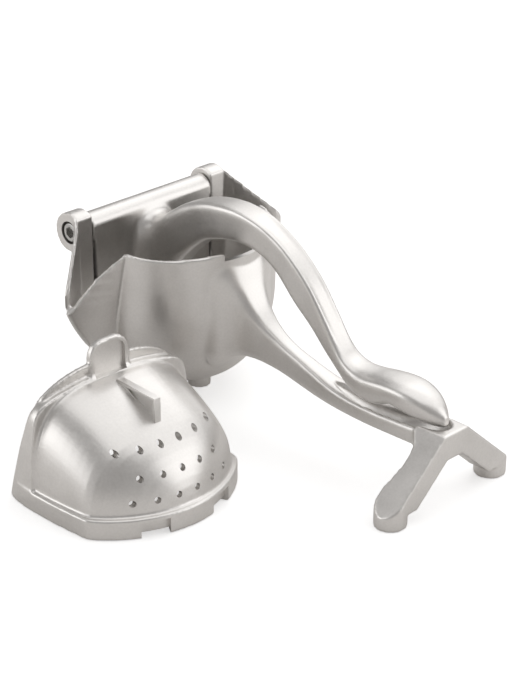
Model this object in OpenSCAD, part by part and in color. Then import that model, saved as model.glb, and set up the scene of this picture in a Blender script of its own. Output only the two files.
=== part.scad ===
// Cast hand-press citrus squeezer: hopper cup with a fixed lower handle on a
// three-point stand, a hinged press lever, and a lift-out strainer that stands
// beside the cup. All sizes are in millimetres. The hinge axis is parallel to Y,
// the handles point along +X, and Z = 0 is the table. The origin is the middle
// of the underside of the rear peg foot.

/* [Hinge] */
// Height of the hinge axis above the table
hinge_h = 81; // [78:0.5:86]
// Distance of the hinge axis behind the rear peg foot
hinge_back = 37; // [34:0.5:40]
// Outer face to outer face of the two hinge ears
ear_span = 94; // [92:0.5:100]
// Thickness of each ear
ear_t = 9.2; // [8.5:0.1:11]
// Radius of the round ear boss
boss_r = 9.6; // [9:0.1:11]
// Front face of the ears, ahead of the hinge axis
ear_front = 6; // [5.5:0.1:7]
// Thickness of the web that carries each ear
ear_web = 4.4; // [3.5:0.1:5.5]
// Radius of the lever's hinge barrel
barrel_r = 6.8; // [6.4:0.1:7.4]
// Side gap between the barrel ends and the ears
barrel_gap = 0.4; // [0.3:0.05:0.8]

/* [Hinge screws] */
// Shank diameter of the hinge screws
screw_d = 6; // [5:0.5:6]
// Length of the shank under the head
screw_len = 20; // [16:1:26]
// Head diameter
head_d = 10; // [9.5:0.1:11]
// Head height
head_h = 5.6; // [5:0.1:6]
// Hexagon socket, across flats
socket_af = 5; // [4:0.5:5]
// Depth of the hexagon socket
socket_depth = 3.2; // [2.5:0.1:3.5]
// Radial running clearance of the shank in the ear
screw_clear = 0.06; // [0.03:0.01:0.1]
// Radial clearance of the head in its counterbore
head_clear = 0.35; // [0.25:0.05:0.5]
// Gap under the head, in its counterbore
head_gap = 0.3; // [0.2:0.05:0.6]
// How far the head sits below the ear face
head_sink = 0.4; // [0.2:0.1:1]

/* [Cup] */
// Wall thickness of the cup
wall = 2.4; // [2:0.1:3]
// Radius of the round front wall, outside
cup_r = 45; // [44:0.5:47]
// Centre of the round front wall, ahead of the hinge
cup_cx = 25; // [23:0.5:27]
// Height of the front rim below the hinge axis
rim_drop = 2; // [1:0.1:3]
// Distance of the spout tips from the middle plane
spout_y = 70.5; // [67:0.5:74]
// Distance of the spout tips ahead of the hinge
spout_x = 23; // [21:0.5:26]
// Depth of the spout tips below the hinge axis
spout_drop = 24.5; // [22:0.5:27]
// Inward lean of the spout edges, sideways run per unit of drop
spout_lean = 0.45; // [0.4:0.05:0.6]
// Depth of the cup floor below the hinge axis
cup_depth = 76.5; // [75:0.5:77.5]
// Height at which the walls begin to round into the floor, below the hinge
round_drop = 27; // [24:1:32]
// Centre of the cup floor, ahead of the hinge
floor_x = 30; // [27:0.5:33]
// Back wall of the cup, behind the hinge
back_x = 12.5; // [12:0.5:14]
// Turn of the creases between the spouts and the round front, degrees
crease_turn = 76; // [72:1:78]
// Height of the rim where it leaves the ear, from the hinge axis
rim_ear_z = 5; // [3:0.5:7]
// Height of the back rim, from the hinge axis
back_rim_z = -11; // [-14:0.5:-10]
// Front half-width of the thumb notch in the rim
notch_w = 12.5; // [12:0.5:15]
// Depth of the thumb notch
notch_d = 1.6; // [1:0.1:2.5]

/* [Lower handle] */
// Half-width of the slender part of the handle
handle_w = 4.6; // [4:0.1:6]
// Distance of the handle's thinnest place ahead of the hinge
handle_x = 99; // [97:0.5:102]
// Distance of the two front feet ahead of the hinge
foot_x = 190.7; // [185:0.5:198]
// Distance of each front foot from the middle plane
foot_y = 33; // [30:0.5:36]
// Radius of the front feet
foot_r = 7.3; // [6.5:0.1:8]
// Height of the upright side of each front foot
foot_h = 6; // [4:0.5:8]
// Radius of the rear peg foot
peg_r = 5.5; // [5:0.1:6]
// Height of the yoke top above the table
yoke_h = 35; // [33:0.5:37]
// Width of the flat top of the yoke
yoke_w = 15; // [13:0.5:17]
// Depth of the legs, measured straight down
leg_t = 12.5; // [11:0.5:14]
// Clearance between the closed grip and its seat in the handle
grip_clear = 0.8; // [0.5:0.1:1.2]
// Half-width of the trough under the grip
trough_w = 8.1; // [7.4:0.1:8.2]
// Depth of the trough under the grip
trough_d = 5; // [4:0.1:5.4]

/* [Press lever] */
// Radius from the hinge axis to the tip of the press plate
plate_r = 62; // [58:0.5:63]
// Thickness of the press plate
plate_t = 5.5; // [4.5:0.1:7]
// Front face of the press plate, ahead of the hinge axis
plate_front = 6.4; // [5.8:0.1:7]
// Side gap between the press plate and the cup
plate_gap = 1.5; // [1:0.1:2.5]
// Half-width of the slender part of the arm
arm_w = 4.8; // [4:0.1:6]
// Half-width of the grip
grip_w = 10; // [8:0.5:11]
// Height of the closed grip's underside above the hinge, below zero
grip_low = -46.6; // [-47:0.1:-46.2]
// Depth of the dished groove along the top of the arm
arm_dish = 1.1; // [0.5:0.1:1.5]

/* [Strainer] */
// Length of the strainer over its skirt
strainer_l = 75; // [72:0.5:78]
// Half-width of the strainer over its skirt
strainer_w = 45.5; // [43:0.5:46]
// Height of the strainer dome
dome_h = 52; // [49:0.5:54]
// Wall thickness of the strainer
strainer_wall = 2.2; // [1.8:0.1:2.8]
// Height of the skirt
skirt_h = 9.5; // [8:0.5:11]
// How far the skirt stands proud of the dome
skirt_out = 2.4; // [2:0.1:4]
// Forward lean of the open arch, run per unit of height
arch_lean = 0.3; // [0.25:0.01:0.35]
// Distance from the arch's foot to the upright front of its band
band_l = 20; // [18:0.5:22]
// Height of the lip above the dome
lip_h = 7; // [5:0.5:8]
// Thickness of the lip
lip_t = 2.4; // [2:0.1:3]
// Width of the thumb tab
tab_w = 21.5; // [20:0.5:26]
// Height of the thumb tab above the band
tab_h = 19; // [16:0.5:22]
// Thickness of the thumb tab
tab_t = 3.2; // [2.8:0.1:4]
// Length of the fin on the dome
fin_l = 25; // [22:0.5:27]
// Thickness of the fin
fin_t = 2.2; // [2:0.1:3]
// Diameter of the juice holes
hole_d = 2.9; // [2.6:0.1:4]
// Juice holes in the lowest row
holes_per_row = 6; // [4:1:6]
// Distance between the holes of a row
hole_pitch = 10; // [9:0.5:10.5]
// Height of the lowest row of holes
first_row_z = 15.3; // [14:0.1:17]
// Rise from row to row
row_rise = 9.1; // [8:0.1:9.5]
// Width of each juice gap in the skirt
skirt_gap_w = 15; // [12:0.5:18]
// Turn of each juice gap from the middle plane, degrees
gap_turn = 27; // [24:1:30]

/* [Strainer place] */
// Place of the strainer, ahead of the hinge
strainer_x = 58; // [57:0.5:60]
// Place of the strainer's middle plane, to the left of the cup
strainer_y = 89; // [88:0.5:92]
// Turn of the strainer on the table, degrees
strainer_turn = -2.8; // [-4:0.1:0]

/* [Hidden] */
$fn = 64;
eps = 0.01;
front_steps = 14;
ground = -hinge_h;
ear_in = ear_span / 2 - ear_t;
barrel_half = ear_in - barrel_gap;
plate_half = ear_in - plate_gap;

// ---------- helpers ----------

// Signed power, for superellipse outlines.
function spow(v, e) = sign(v) * pow(abs(v), e);

// Skin over a stack of closed outlines with the same number of points, each
// running counter-clockwise as seen from the last one.
module skin(rings) {
    n = len(rings[0]);
    m = len(rings);
    points = [for (r = rings) each r];
    sides = [for (i = [0 : m - 2], j = [0 : n - 1]) let (k = (j + 1) % n)
        each [[i * n + j, (i + 1) * n + k, i * n + k],
              [i * n + j, (i + 1) * n + j, (i + 1) * n + k]]];
    polyhedron(points, concat([[for (j = [0 : n - 1]) j]], sides,
                              [[for (j = [n - 1 : -1 : 0]) (m - 1) * n + j]]));
}

// Cylinder along Y between two places.
module y_cylinder(r, y0, y1) {
    translate([0, y0, 0]) rotate([-90, 0, 0]) cylinder(r = r, h = y1 - y0);
}

// Child shape on both sides of the middle plane.
module both_sides() {
    children();
    mirror([0, 1, 0]) children();
}

// The same in a flat drawing of the front view.
module both_sides_flat() {
    children();
    mirror([1, 0]) children();
}

// Puts a child drawn about the hinge axis into the part's frame.
module at_hinge() {
    translate([-hinge_back, 0, hinge_h]) children();
}

// ---------- cup ----------

// Shrink of the cup's outline toward its floor, a full elliptical round.
function floor_round(z, off) =
    let (t = min(1, max(0, (-z - round_drop) / (cup_depth - off - round_drop))))
    pow(1 - pow(t, 2.3), 1 / 2.3);

// Half outline of the cup at height z, moved inward by off: back wall, pocket
// beside the press plate, spout wing, spout tip, crease and round front.
function cup_half(z, off) =
    let (tip = [spout_x - 1.2, spout_y - spout_lean * max(0, -spout_drop - z) - off * 1.5],
         root = [ear_front, ear_span / 2],
         r = cup_r - off,
         back = -back_x + off,
         side = ear_in + wall - off,
         crease_a = min(88, crease_turn + 0.25 * max(0, -z)))
    concat([[back, 0], [back, side - 7.2], [back + 1.6, side - 3.2], [back + 4.6, side - 0.8],
            [back + 9, side]],
           off > 0 ? [[ear_front, ear_in], root - [0, 0.6], root + [3.9, 2.7]]
                   : [[ear_front - ear_web, side], root - [ear_web, 2],
                      root - [wall, 0], root + [1.9, 3.2]],
           [[tip[0], tip[1] - 1.6], [tip[0] + 1.2, tip[1]], [tip[0] + 2.6, tip[1] - 0.8]],
           [for (i = [0 : front_steps]) let (a = crease_a * (1 - i / front_steps))
               [cup_cx + r * cos(a), r * sin(a)]]);

// Closed ring of the cup at height z.
function cup_ring(z, off) =
    let (half = cup_half(z, off), k = floor_round(z, off), n = len(half))
    [for (p = concat([for (q = half) [q[0], -q[1]]], [for (i = [n - 2 : -1 : 1]) half[i]]))
        [floor_x + (p[0] - floor_x) * k, p[1] * k, z]];

module cup_solid(off, top) {
    low = cup_depth - off - round_drop;
    skin(concat([for (a = [86, 72, 58, 44, 30, 16, 0]) cup_ring(-round_drop - low * sin(a), off)],
                [cup_ring(-spout_drop, off), cup_ring(top, off)]));
}

// Rim of the spout wing and of the spout lip, as [y, z] going outward.
wing_rim = [[ear_span / 2, rim_ear_z], [ear_span / 2 + 2.7, rim_ear_z - 3.2],
            [spout_y - 14.8, -spout_drop + 19.5], [spout_y - 10.2, -spout_drop + 14.2],
            [spout_y - 4.6, -spout_drop + 9], [spout_y - 1.6, -spout_drop + 5]];
lip_rim = [[notch_w + 2, -rim_drop], [cup_r * 0.84, -rim_drop - 1], [cup_r * 0.9, -rim_drop - 1.8],
           [cup_r * 0.95, -rim_drop - 4], [spout_y - 4, -spout_drop + 2.6]];
lip_end = [[spout_y - 0.6, -spout_drop + 1], [spout_y, -spout_drop],
           [spout_y + 20, -spout_drop], [spout_y + 20, 60]];

// Cutter for all that lies above a rim, between two places along X.
module rim_cut(rim, x0, x1) {
    both_sides() translate([x0, 0, 0]) rotate([90, 0, 90]) linear_extrude(x1 - x0)
        polygon(concat([[-1, 60], [-1, rim[0][1]]], rim, lip_end));
}

// What lies above the rim: level in front, falling from the ears and from the
// front to the spout tips, low behind the press plate.
module above_rim() {
    rim_cut(wing_rim, -60, spout_x);
    rim_cut(lip_rim, spout_x - 1.2, 140);
    translate([-60, -ear_in, back_rim_z]) cube([60 + ear_front + 30, 2 * ear_in, 60]);
    translate([-60, -60, back_rim_z]) cube([60 + ear_front - ear_web - 1, 120, 60]);
}

// Ears: round bosses with a flat front face, carried by webs.
module ears() {
    both_sides() {
        difference() {
            y_cylinder(boss_r, ear_in, ear_span / 2);
            translate([ear_front, ear_in - 1, -boss_r - 1]) cube([boss_r, ear_t + 2, 2 * boss_r + 2]);
        }
        translate([ear_front - ear_web, ear_in, -round_drop])
            cube([ear_web, ear_t, round_drop]);
    }
}

// Holes and counterbores for the hinge screws.
module ear_cuts() {
    both_sides() {
        y_cylinder(screw_d / 2 + screw_clear, ear_in - 1, ear_span / 2 + 1);
        y_cylinder(head_d / 2 + head_clear, ear_span / 2 - head_sink - head_h - head_gap,
                   ear_span / 2 + 1);
    }
}

// ---------- lower handle ----------

// Place along the slender part: 0 at its thinnest, 1 at the front feet.
function toward_foot(u) = handle_x + (foot_x - handle_x) * u;

// Rows: distance ahead of the hinge, top, underside, half-width.
handle_rows = [[62, -6, -60, 18.5], [67.5, -6.5, -54.5, 17], [70, -9, -52.8, 13.5], [74, -18, -51.8, 9.8],
    [79, -25.8, -51.6, 7.4], [85, -32, -52, 5.9], [92, -36.6, -52.9, handle_w + 0.3],
    [handle_x, -39.9, -54, handle_w], [toward_foot(0.1), -42.8, -55.6, handle_w + 0.2],
    [toward_foot(0.21), -45.8, -57, handle_w + 0.8],
    [toward_foot(0.32), -48.2, -57.7, handle_w + 1.6], [toward_foot(0.45), -49, -57.6, handle_w + 3],
    [toward_foot(0.6), -48.6, -57.2, handle_w + 4.2], [toward_foot(0.77), -47.6, -56.6, handle_w + 4.8],
    [toward_foot(0.99), -46, -56, handle_w + 5]];

// Round-cornered cross-section: half-width, floor, top, squareness, dish.
function bar_ring(x, low, high, w, square, steps = 24) =
    let (mid = (low + high) / 2, h = (high - low) / 2)
    [for (i = [0 : steps - 1]) let (a = 360 * (i + 0.5) / steps)
        [x, w * spow(cos(a), 2 / square), mid + h * spow(sin(a), 2 / square)]];

module handle_bar() {
    skin([for (r = handle_rows) bar_ring(r[0], r[2], r[1], r[3], 5)]);
}

// Plan of the yoke: a block with two straight legs that end in round feet.
module yoke_plan() {
    leg_back = foot_x - foot_r + 1.2;
    leg_front = foot_x + foot_r - 0.2;
    polygon([[leg_back - 3, -9.5], [leg_back - 3, 9.5], [leg_back + 1, 14], [leg_back, foot_y],
             [leg_front, foot_y], [leg_front, -foot_y], [leg_back, -foot_y], [leg_back + 1, -14]]);
    both_sides() translate([foot_x, foot_y]) circle(foot_r);
}

// Right half of the front view of the yoke: flat top, sloping leg, half an arch.
module yoke_front() {
    top = ground + yoke_h;
    toe = ground + foot_h;
    out = foot_y + foot_r;
    drop = (top - toe) / (out - yoke_w / 2);
    low = top - leg_t;
    polygon([[-eps, top], [yoke_w / 2, top], [out, toe],
             [yoke_w / 2 - 2.4 + (low - toe) / drop, toe], [yoke_w / 2 - 2.4, low], [-eps, low]]);
}

// Legs on two round upright feet.
module yoke() {
    intersection() {
        translate([0, 0, ground]) linear_extrude(yoke_h + 1) yoke_plan();
        translate([foot_x - 4 * foot_r, 0, 0]) rotate([90, 0, 90]) linear_extrude(8 * foot_r)
            both_sides_flat() yoke_front();
    }
    both_sides() translate([foot_x, foot_y, ground]) cylinder(r = foot_r, h = foot_h);
}

module peg() {
    translate([hinge_back, 0, ground]) cylinder(r = peg_r, h = hinge_h - cup_depth + 6);
}

module housing() {
    color("silver") at_hinge() difference() {
        union() {
            difference() {
                cup_solid(0, boss_r + 3);
                above_rim();
            }
            ears();
            handle_bar();
            yoke();
            peg();
        }
        cup_solid(wall, boss_r + 5);
        ear_cuts();
        translate([cup_cx, -notch_w, -rim_drop - notch_d]) cube([cup_r + 5, 2 * notch_w, 20]);
        grip_seat();
    }
}

// ---------- press lever ----------

// Rows: top point, bottom point, half-width, squareness, ridge height, dish.
arm_rows = [
    [[2, 3], [3, -37], arm_w + 9, 4, 0.5, 0],
    [[8, 2.4], [9, -35.5], arm_w + 4.2, 4, 0.5, 0],
    [[14, 3], [17, -30], arm_w + 1.2, 4, 0.5, 0],
    [[22, 6.2], [27, -20.5], arm_w + 0.4, 4, 0.5, 0],
    [[32, 12], [36, -10.5], arm_w + 0.8, 4, 0.5, 0],
    [[45, 17], [47, -1], arm_w + 1.6, 4, 0.5, 0],
    [[57, 19.4], [57.5, 3.2], arm_w + 1.9, 4, 0.5, 0],
    [[69, 19.6], [66.5, 5.2], arm_w + 1.2, 4.5, 0.5, 0.2],
    [[80.5, 17.6], [75, 5.2], arm_w + 0.6, 4.5, 0.5, 0.6],
    [[91, 13.6], [84, 3], arm_w, 4.5, 0.5, 1],
    [[102, 7], [93.6, -2.6], arm_w, 4.5, 0.5, 1],
    [[113.6, -3.4], [104.6, -13.6], arm_w, 4.5, 0.5, 1],
    [[123.4, -16], [115.4, -22.8], arm_w, 4.5, 0.5, 0.8],
    [[130.6, -26], [124, -31.6], arm_w + 0.4, 4, 0.5, 0.3],
    [[136.5, -31.8], [131.5, -38], arm_w + 1.6, 3.2, 0.55, 0],
    [[143, -33.6], [138.8, -44.2], grip_w - 2.2, 2.8, 0.6, 0],
    [[150, -33.5], [147, -47.4], grip_w - 0.8, 2.6, 0.64, 0],
    [[158, -32.3], [156, -47.2], grip_w - 0.2, 2.6, 0.66, 0],
    [[166, -31.5], [165.5, -43.6], grip_w, 2.6, 0.6, 0],
    [[174, -31.8], [174, -45.2], grip_w - 0.4, 2.6, 0.66, 0],
    [[182, -33.9], [182.4, -46.4], grip_w - 2.2, 2.4, 0.66, 0],
    [[188, -37.4], [188.6, grip_low], grip_w - 5.2, 2.3, 0.6, 0],
    [[191.8, -41.4], [192.2, -46], grip_w - 8.4, 2.2, 0.5, 0]];

// Cross-section of the arm between its top and bottom points.
function arm_ring(r, steps = 28) =
    let (full = norm(r[0] - r[1]),
         up = (r[0] - r[1]) / full,
         w = r[2], e = 2 / r[3], k = r[4])
    [for (i = [0 : steps - 1])
        let (a = 360 * (i + 0.5) / steps,
             y = w * spow(cos(a), e),
             s = spow(sin(a), e),
             rise = s > 0 ? k + (1 - k) * s : k + k * s,
             dip = s > 0 ? r[5] * arm_dish * max(0, 1 - pow(y / (0.8 * w), 2)) : 0,
             p = r[1] + up * (full * rise - dip))
        [p[0], y, p[1]]];

module arm() {
    skin([for (r = arm_rows) arm_ring(r)]);
}

// Trough along the top of the lower handle, under the closed grip: it starts as a
// point, widens between thin rims and runs into the top of the yoke.
module grip_seat() {
    low = grip_low - grip_clear;
    rows = [[0.29, -48.5, 0.06, 0.06], [0.35, -48.7, 0.34, 0.35], [0.43, -49, 0.58, 0.7],
            [0.52, -49.2, 0.82, 1], [0.62, -49.2, 0.95, 1], [0.74, -48.6, 1, 1]];
    ends = [[0.87, low, 3.4, 0.98], [0.95, low, 2.6, 0.88], [1, low + 0.5, 1.6, 0.62], [1.03, low + 0.9, 0.7, 0.2]];
    skin(concat([for (r = rows) bar_ring(toward_foot(r[0]), r[1] - trough_d * r[3], r[1] + trough_d * r[3],
                                         trough_w * r[2], 2.8)],
                [for (r = ends) bar_ring(toward_foot(r[0]), r[1] - r[2], r[1] + r[2] + 2, trough_w * r[3], 2.8)]));
}

// Front view of the press plate: straight sides and a round lower end.
module plate_front_view() {
    r = 24;
    hull() {
        translate([-plate_half, -6]) square([2 * plate_half, 4]);
        for (y = [-1, 1]) translate([y * (plate_half - r), -plate_r + r]) circle(r);
    }
}

module press_lever() {
    color("silver") at_hinge() difference() {
        union() {
            difference() {
                y_cylinder(barrel_r, -barrel_half, barrel_half);
                translate([plate_front, -ear_in, -barrel_r - 1]) cube([5, 2 * ear_in, 2 * barrel_r]);
            }
            intersection() {
                translate([plate_front - plate_t, 0, 0]) rotate([90, 0, 90])
                    linear_extrude(plate_t) plate_front_view();
                y_cylinder(plate_r, -plate_half, plate_half);
            }
            arm();
        }
        both_sides() y_cylinder(screw_d / 2, ear_span / 2 - head_sink - head_h - screw_len - 2,
                                barrel_half + 1);
    }
}

module hinge_screws() {
    color("dimgray") at_hinge() both_sides() difference() {
        union() {
            y_cylinder(head_d / 2, ear_span / 2 - head_sink - head_h, ear_span / 2 - head_sink);
            y_cylinder(screw_d / 2, ear_span / 2 - head_sink - head_h - screw_len,
                       ear_span / 2 - head_sink - head_h + eps);
        }
        translate([0, ear_span / 2 - head_sink + eps, 0]) rotate([90, 0, 0])
            cylinder(r = socket_af / sqrt(3), h = socket_depth, $fn = 6);
    }
}

// ---------- strainer ----------
// Drawn standing on its skirt: X runs from the open arch to the round front.

dome_l = strainer_l - skirt_out;
dome_w = strainer_w - skirt_out;
dome_s = band_l - 4;

// Half-width of a rounded plan that is nearly straight along its sides.
function plan_w(u, w) = w * pow(max(0, 1 - pow(max(0, u), 5.2)), 0.55);

// Upright slice of the dome at distance s from the arch, moved inward by off. A
// hollow's slice goes on below the table, so that it opens the underside.
function dome_ring(s, off, steps = 20) =
    let (u = s / (dome_l - off),
         t = max(0, (s - dome_s) / (dome_l - off - dome_s)),
         w = plan_w(u, dome_w - off - 0.28 * max(0, band_l - s)),
         h = (dome_h - off - 0.15 * max(0, band_l - s)) * pow(max(0, 1 - pow(t, 1.4)), 0.36),
         square = 3.4 - 0.9 * t,
         low = off > 0 ? -2 : 0)
    concat([[s, w, low]],
           [for (i = [1 : steps - 1]) let (a = 180 * i / steps)
               [s, w * spow(cos(a), 2 / square), h * spow(sin(a), 2 / square)]],
           [[s, -w, low]]);

// Closed dome from behind the arch to the front.
module dome_solid(off) {
    skin([for (u = [-0.08, 0, 0.27, 0.38, 0.5, 0.61, 0.71, 0.79, 0.86, 0.915, 0.955, 0.982, 0.996])
        dome_ring(u * (dome_l - off), off)]);
}

// Plan of the skirt, moved inward by off.
module skirt_plan(off) {
    function side(u) = plan_w(u, strainer_w - off);
    polygon(concat([[0, off + 6 - strainer_w], [band_l * 0.4, off + 2 - strainer_w], [band_l, -side(0)]],
        [for (i = [-22 : 22]) let (t = i / 23, u = 1 - pow(abs(t), 2.2) * 0.6)
            [(strainer_l - off) * u, sign(t) * side(u)]],
        [[band_l, side(0)], [band_l * 0.4, strainer_w - 2 - off], [0, strainer_w - 6 - off]]));
}

// Outline of the band round the open arch, going up: half-width and height as
// shares of the skirt's half-width and of the dome's height.
band_outline = [[0.985, 0], [0.98, 0.17], [0.965, 0.48], [0.93, 0.63], [0.885, 0.74], [0.8, 0.83],
    [0.66, 0.91], [0.49, 0.965], [0.26, 1.01], [0, 1.03]];

function band_ring(s, w, h) =
    let (half = [for (p = band_outline) [s, p[0] * w, p[1] * h]], n = len(half))
    concat(half, [for (i = [n - 2 : -1 : 0]) [s, -half[i][1], half[i][2]]]);

// Band round the arch: it flares forward and ends upright, proud of the dome.
module arch_band() {
    skin([band_ring(-1, strainer_w * 0.84, dome_h * 0.94), band_ring(band_l, strainer_w, dome_h)]);
}

// Leaning plate in the plane of the arch, d in front of it.
module in_arch(d, t) {
    rotate([0, atan(arch_lean), 0]) translate([d, 0, 0]) rotate([90, 0, 90]) linear_extrude(t)
        scale([1, sqrt(1 + pow(arch_lean, 2))]) children();
}

// Lip that stands on the back of the band, ending where the arch turns down.
lip_half = strainer_w * 0.76;
lip_foot = dome_h * 0.69;

module arch_lip() {
    in_arch(-0.6, lip_t)
        polygon(concat([[lip_half, lip_foot], [-lip_half, lip_foot]], [for (i = [-12 : 12]) let (y = i * lip_half / 12)
            [y, (dome_h + lip_h) * pow(1 - pow(abs(y) / (strainer_w + 2), 2.8), 1 / 2.8)]]));
}

// Thumb tab: an upright plate with a raised rim round its front.
module thumb_tab() {
    r = tab_w * 0.3;
    module panel(inset, t) {
        rotate([90, 0, 90]) linear_extrude(t) {
            for (y = [-1, 1]) translate([y * (tab_w / 2 - r), tab_h - r]) circle(r - inset);
            translate([inset - tab_w / 2, 0]) square([tab_w - 2 * inset, tab_h - r]);
            translate([r - tab_w / 2, 0]) square([tab_w - 2 * r, tab_h - inset]);
        }
    }
    difference() {
        panel(0, tab_t);
        translate([tab_t - 1, 0, -eps]) panel(2, 5);
    }
}

// Thin upright fin on the middle of the dome, with a sunk panel on each side.
module fin() {
    tip = band_l + 6.5;
    end = tip + fin_l;
    difference() {
        translate([0, fin_t / 2, 0]) rotate([90, 0, 0]) linear_extrude(fin_t)
            polygon([[tip - 3, dome_h - 8], [tip - 3, dome_h - 2.4], [tip, dome_h - 0.6],
                     [end, dome_h - 0.6], [end, dome_h - 20], [tip + 8, dome_h - 16]]);
        both_sides() translate([0, fin_t / 2 + 1, 0]) rotate([90, 0, 0])
            linear_extrude(1.5)
            polygon([[tip + 8, dome_h - 2.2], [end - 1.6, dome_h - 2.2], [end - 1.6, dome_h - 9]]);
    }
}

// Staggered rows of juice holes, all parallel to the dome's length.
module juice_holes() {
    for (row = [0 : 2]) let (n = holes_per_row - row % 2) for (i = [0 : n - 1])
        translate([dome_l * 0.5, (i - (n - 1) / 2) * hole_pitch, first_row_z + row * row_rise])
            rotate([0, 90, 0]) cylinder(d = hole_d, h = strainer_l, $fn = 16);
}

// Juice gap in the skirt's proud layer, which also lifts the inner wall's edge.
module skirt_gap(s) {
    module across(h) {
        translate([strainer_l * 0.48, 0, -1]) rotate([0, 0, s * gap_turn])
            translate([0, -skirt_gap_w / 2, 0]) cube([strainer_l, skirt_gap_w, h + 1]);
    }
    across(2);
    difference() {
        across(skirt_h - 2);
        translate([0, 0, -2]) linear_extrude(skirt_h + 2) skirt_plan(skirt_out);
    }
}

module strainer_shape() {
    difference() {
        union() {
            dome_solid(0);
            linear_extrude(skirt_h) skirt_plan(0);
            arch_band();
            fin();
        }
        // Behind the leaning plane of the open arch
        rotate([0, atan(arch_lean), 0]) translate([-strainer_l, -2 * strainer_w, -2 * skirt_h])
            cube([strainer_l, 4 * strainer_w, 2 * dome_h]);
        dome_solid(strainer_wall);
        juice_holes();
        skirt_gap(-1);
        skirt_gap(1);
    }
    difference() {
        union() {
            arch_lip();
            translate([arch_lean * dome_h - 0.6, 0, dome_h - 3]) thumb_tab();
        }
        dome_solid(strainer_wall);
    }
}

module strainer() {
    color("silver") translate([strainer_x - hinge_back, -strainer_y, 0])
        rotate([0, 0, strainer_turn]) strainer_shape();
}

housing();
press_lever();
strainer();
hinge_screws();
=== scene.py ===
"""Hand-press citrus squeezer in cast aluminium, dressed for rendering.

The object has three bodies: the housing (cup, ears, lower handle and feet), the
press lever that swings on two hinge screws, and the strainer that is lifted out
and stands beside the cup. Each sub-assembly is a class that holds its sizes and
models its own meshes. Sizes are in millimetres about the hinge axis, which is
parallel to Y, with the handles along +X; `place` turns them into metres in the
frame of the CAD model.
"""

import logging
import math
from dataclasses import dataclass
from enum import Enum
from functools import cache
from typing import Sequence

import bmesh
import bpy
from mathutils import Matrix, Vector

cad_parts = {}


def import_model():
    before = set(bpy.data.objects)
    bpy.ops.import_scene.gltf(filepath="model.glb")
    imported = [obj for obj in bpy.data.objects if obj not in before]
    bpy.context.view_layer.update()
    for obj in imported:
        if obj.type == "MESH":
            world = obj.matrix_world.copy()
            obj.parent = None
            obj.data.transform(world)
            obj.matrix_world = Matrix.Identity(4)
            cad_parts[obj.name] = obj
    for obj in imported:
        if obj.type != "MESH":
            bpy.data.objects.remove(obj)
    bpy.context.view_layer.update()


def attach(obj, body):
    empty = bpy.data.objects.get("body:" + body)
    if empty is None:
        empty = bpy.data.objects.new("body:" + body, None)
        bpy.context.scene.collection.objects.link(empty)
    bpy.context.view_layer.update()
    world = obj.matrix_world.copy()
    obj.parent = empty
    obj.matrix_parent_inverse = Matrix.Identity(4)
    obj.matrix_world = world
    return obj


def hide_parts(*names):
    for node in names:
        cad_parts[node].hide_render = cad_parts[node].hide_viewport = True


logging.basicConfig(level=logging.INFO, format="%(levelname)s %(name)s: %(message)s")
LOG = logging.getLogger("squeezer")

Row = Sequence[float]
Flat = Sequence[tuple[float, float]]
Outline = list[Vector]
Piece = bpy.types.Object

MM = 0.001
HINGE_BACK = 37.0
HINGE_HEIGHT = 81.0
SIDES = (-1, 1)
MOST_TRIANGLES = 190000


def place(x: float, y: float, z: float) -> Vector:
    """Turns a point about the hinge axis, in mm, into the model's frame, in metres."""
    return Vector(((x - HINGE_BACK) * MM, y * MM, (z + HINGE_HEIGHT) * MM))


def signed_power(value: float, exponent: float) -> float:
    """Raises a signed value to a power and keeps its sign, for superellipses."""
    return math.copysign(abs(value) ** exponent, value)


def spline(rows: Sequence[Row], steps: int) -> list[list[float]]:
    """Draws a smooth run through rows of numbers.

    Args:
        rows: Rows of equal length, such as stations along a handle.
        steps: Number of steps from each row to the next.

    Returns:
        The rows with Catmull-Rom steps between them.
    """
    run: list[list[float]] = []
    for i in range(len(rows) - 1):
        a, b = rows[max(i - 1, 0)], rows[i]
        c, d = rows[i + 1], rows[min(i + 2, len(rows) - 1)]
        for k in range(steps):
            t = k / steps
            run.append([
                0.5 * (2 * q + (r - p) * t + (2 * p - 5 * q + 4 * r - s) * t * t
                       + (3 * q - p - 3 * r + s) * t ** 3)
                for p, q, r, s in zip(a, b, c, d)
            ])
    run.append(list(rows[-1]))
    return run


class Cut(Enum):
    """What a boolean modifier does with the second shape."""

    UNION = "UNION"
    AWAY = "DIFFERENCE"
    COMMON = "INTERSECT"


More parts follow.
